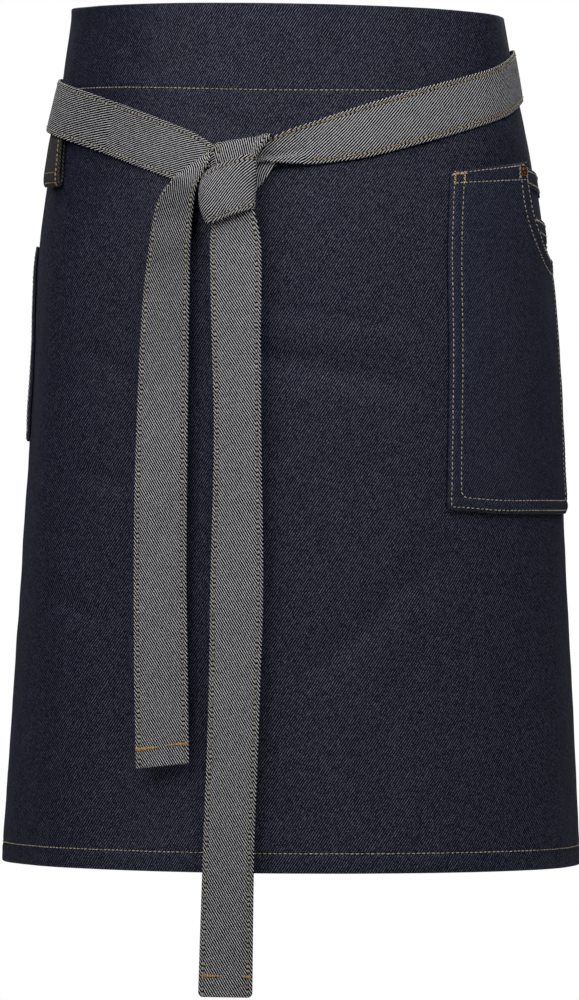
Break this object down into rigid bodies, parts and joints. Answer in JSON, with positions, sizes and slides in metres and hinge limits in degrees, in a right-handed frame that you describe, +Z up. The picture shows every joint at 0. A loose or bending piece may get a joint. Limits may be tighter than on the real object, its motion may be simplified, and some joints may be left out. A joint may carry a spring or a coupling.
{
  "type": "waist apron",
  "caption": "Denim waist apron with a turned facing, contrast stitching, patch pockets, a side loop and twill ties knotted in front with hanging tails.",
  "frame": {"origin": "middle of the waist opening, level with the stitch line under the waist facing", "axes": "+Z up along the worn apron, -Y out of its front, +X to the right of the front view"},
  "size_m": [0.4204, 0.3073, 0.6915],
  "materials": {
    "denim": "raw indigo twill, matt",
    "pocket_denim": "raw indigo twill, matt",
    "tie_twill": "grey reverse twill, matt",
    "loop_twill": "dark grey reverse twill, matt",
    "rivet_copper": "brushed copper"
  },
  "bodies": {
    "root": {"apron_panel": "denim", "tie_left": "tie_twill", "tie_right": "tie_twill", "pocket_right_backing": "pocket_denim", "pocket_right_coin": "pocket_denim", "pocket_right_front": "pocket_denim", "pocket_rivet": "rivet_copper", "pocket_left": "pocket_denim", "side_loop": "loop_twill"}
  },
  "joints": []
}
